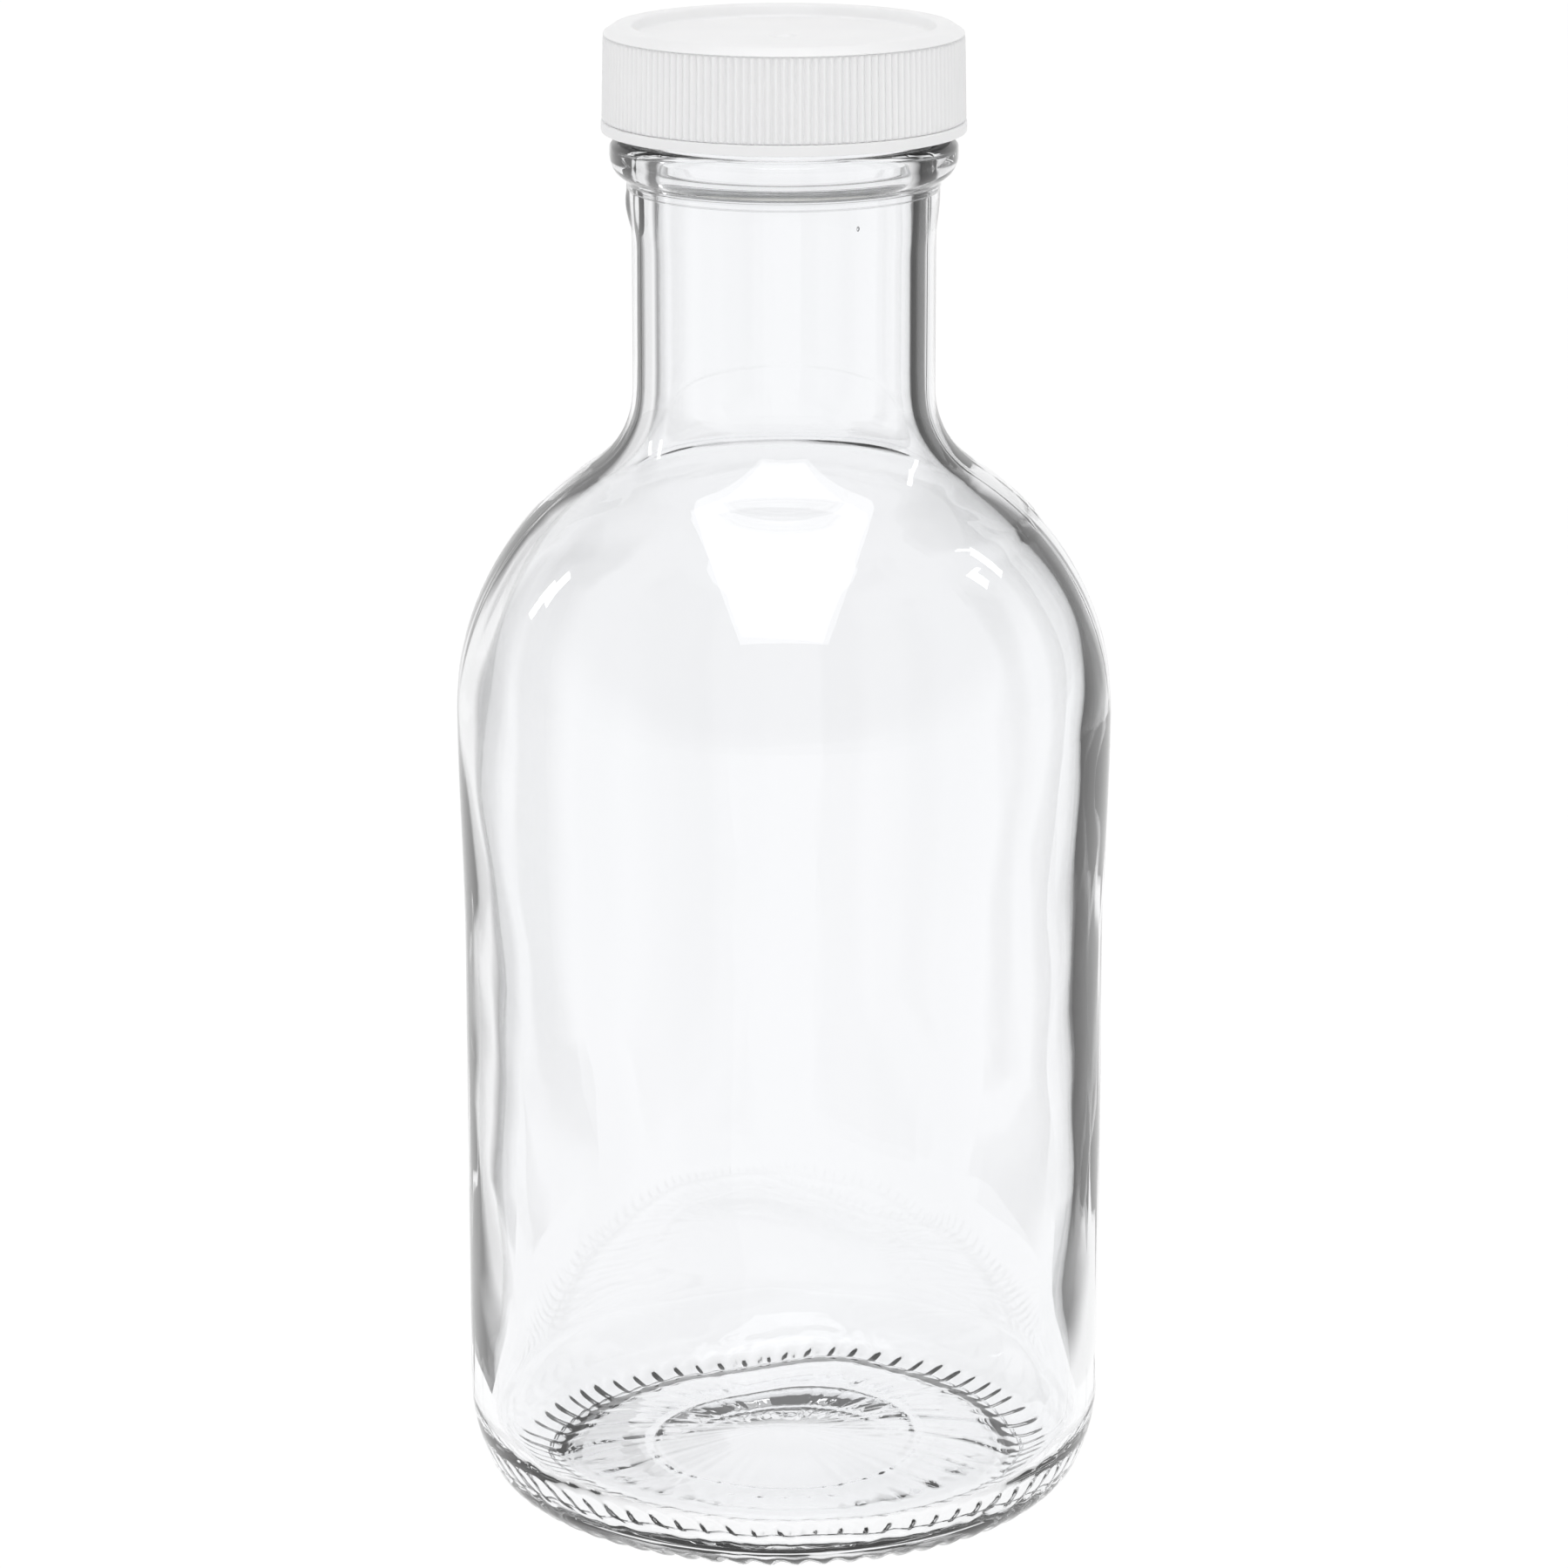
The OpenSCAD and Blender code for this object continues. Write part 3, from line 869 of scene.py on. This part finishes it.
# %% Lamps
def softbox(name, width, height, place, target, power):
    """A rectangular soft light at a place, facing a target, metres and watts."""
    light = bpy.data.lights.new(name, "AREA")
    light.shape = "RECTANGLE"
    light.size = width
    light.size_y = height
    light.energy = power
    lamp = bpy.data.objects.new(name, light)
    lamp.location = place
    lamp.rotation_euler = (Vector(target) - Vector(place)).to_track_quat("-Z", "Y").to_euler()
    bpy.context.scene.collection.objects.link(lamp)
    return lamp


middle = (0, 0, 0.09)
softbox("overhead_softbox", 0.7, 1.4, (0, -0.34, 1.0), (0, -0.34, 0), 5.4)
front = softbox("front_softbox", 0.6, 0.72, (-0.03, -0.78, 0.68), middle, 1.3)
front.visible_glossy = False
front.visible_transmission = False
softbox("left_kicker", 0.05, 0.16, (-0.77, 0.34, 0.42), middle, 0.16)
softbox("right_kicker", 0.05, 0.16, (0.68, 0.29, 0.61), middle, 0.16)

# %% [markdown]
# The flags stand on the diagonals. They are hidden from the camera and cast no shadow, and only light
# that has been turned inside the glass wall meets them; a real flag is kept out of the picture by
# framing. Each has a skirt along the table, for the light that leaves the foot of the bottle. The cloth
# has a clear stripe, which leaves a pale line between two dark ones inside the edge of the glass, and
# the two flags on the near side are thin, so that they don't show as a reflection in the middle.

# %% Black flags
FLAG_R = 0.13
FLAG_TOP = 0.21
FLAG_SKIRT_R = 0.06
FLAG_FROM = 16
FLAG_TO = 74
FLAG_POINTS = 13
flags = []
for corner in range(4):
    turn = np.radians(np.linspace(90 * corner + FLAG_FROM, 90 * corner + FLAG_TO, FLAG_POINTS))
    rows = [
        (radius * math.cos(t), radius * math.sin(t), height)
        for radius, height in ((FLAG_SKIRT_R, 0.001), (FLAG_R, 0.001), (FLAG_R, FLAG_TOP))
        for t in turn
    ]
    mesh = bpy.data.meshes.new("black_flag")
    quads = [
        (k, k + 1, k + FLAG_POINTS + 1, k + FLAG_POINTS)
        for row in (0, FLAG_POINTS)
        for k in range(row, row + FLAG_POINTS - 1)
    ]
    mesh.from_pydata(rows, [], quads)
    flag = bpy.data.objects.new("black_flag_%d" % corner, mesh)
    bpy.context.scene.collection.objects.link(flag)
    flag.visible_camera = False
    flag.visible_diffuse = False
    flag.visible_shadow = False
    flags.append(flag)
felt, tree = finish_for("black_felt")
path = add(tree, "ShaderNodeLightPath", {})
bounced = add(
    tree,
    "ShaderNodeMath",
    {0: path.outputs["Glossy Depth"], 1: path.outputs["Transmission Depth"]},
    operation="MULTIPLY",
)
turned = add(tree, "ShaderNodeMath", {0: bounced.outputs[0], 1: 0.5}, operation="GREATER_THAN")
clear = add(tree, "ShaderNodeBsdfTransparent", {"Color": (1, 1, 1, 1)})
along = add(tree, "ShaderNodeTexCoord", {}).outputs["Generated"]
lean = add(tree, "ShaderNodeTexGradient", {"Vector": along})
grade = add(tree, "ShaderNodeValToRGB", {"Fac": lean.outputs["Fac"]})
grade.color_ramp.elements[0].color = (0, 0, 0, 1)
grade.color_ramp.elements[1].color = (0, 0, 0, 1)
for spot, level in ((0.04, 0.8), (0.12, 0.8), (0.2, 0.08), (0.42, 0.15), (0.52, 0.95), (0.85, 1.0)):
    grade.color_ramp.elements.new(spot).color = (level, level, level, 1)
place = add(tree, "ShaderNodeTexCoord", {}).outputs["Object"]
depth = add(tree, "ShaderNodeSeparateXYZ", {"Vector": place})
thick = add(tree, "ShaderNodeMapRange", {
    "Value": depth.outputs["Y"], "From Min": -0.03, "From Max": 0.03, "To Min": 0.3, "To Max": 1.0
})
graded = add(
    tree, "ShaderNodeMath", {0: thick.outputs[0], 1: grade.outputs["Color"]}, operation="MULTIPLY"
)
cover = add(
    tree, "ShaderNodeMath", {0: turned.outputs[0], 1: graded.outputs[0]}, operation="MULTIPLY"
)
dark = add(tree, "ShaderNodeBsdfDiffuse", {"Color": linear("#141414")})
mix = add(
    tree,
    "ShaderNodeMixShader",
    {0: cover.outputs[0], 1: clear.outputs["BSDF"], 2: dark.outputs["BSDF"]},
)
add(tree, "ShaderNodeOutputMaterial", {"Surface": mix.outputs["Shader"]})
for flag in flags:
    flag.data.materials.append(felt)

# %% [markdown]
# ## The camera
# It stands in front, a little above, and looks slightly down on the bottle. Its height and distance
# are worked out from how open the round of the closure and the round of the base look. It aims
# halfway between the highest and the lowest line of sight, and its lens makes the bottle fill the
# frame.

# %% Camera
EYE = Vector((0, -0.648, 0.2555))
FRAME_SHARE = 0.9967
seen = [vertex.co for piece in (bottle, cap) for vertex in piece.data.vertices]
sight = [math.atan2(spot.z - EYE.z, spot.y - EYE.y) for spot in seen]
half = (max(sight) - min(sight)) / 2
pitch = (max(sight) + min(sight)) / 2
camera = bpy.data.cameras.new("studio_camera")
camera.sensor_width = 36
camera.lens = camera.sensor_width * FRAME_SHARE / (2 * math.tan(half))
camera.clip_start = 0.01
eye = bpy.data.objects.new("studio_camera", camera)
eye.location = EYE
eye.rotation_euler = (math.pi / 2 + pitch, 0, 0)
bpy.context.scene.collection.objects.link(eye)
bpy.context.scene.camera = eye
print("lens", round(camera.lens, 1), "mm, looking down", round(-math.degrees(pitch), 2), "degrees")

# %% How light is counted
# The plain view keeps white white, as a catalogue does, and the glass gets enough bounces.
scene = bpy.context.scene
scene.view_settings.view_transform = "Standard"
scene.cycles.max_bounces = 24
scene.cycles.transmission_bounces = 16
scene.cycles.glossy_bounces = 8
scene.cycles.transparent_max_bounces = 16
scene.cycles.caustics_refractive = True
scene.cycles.caustics_reflective = False
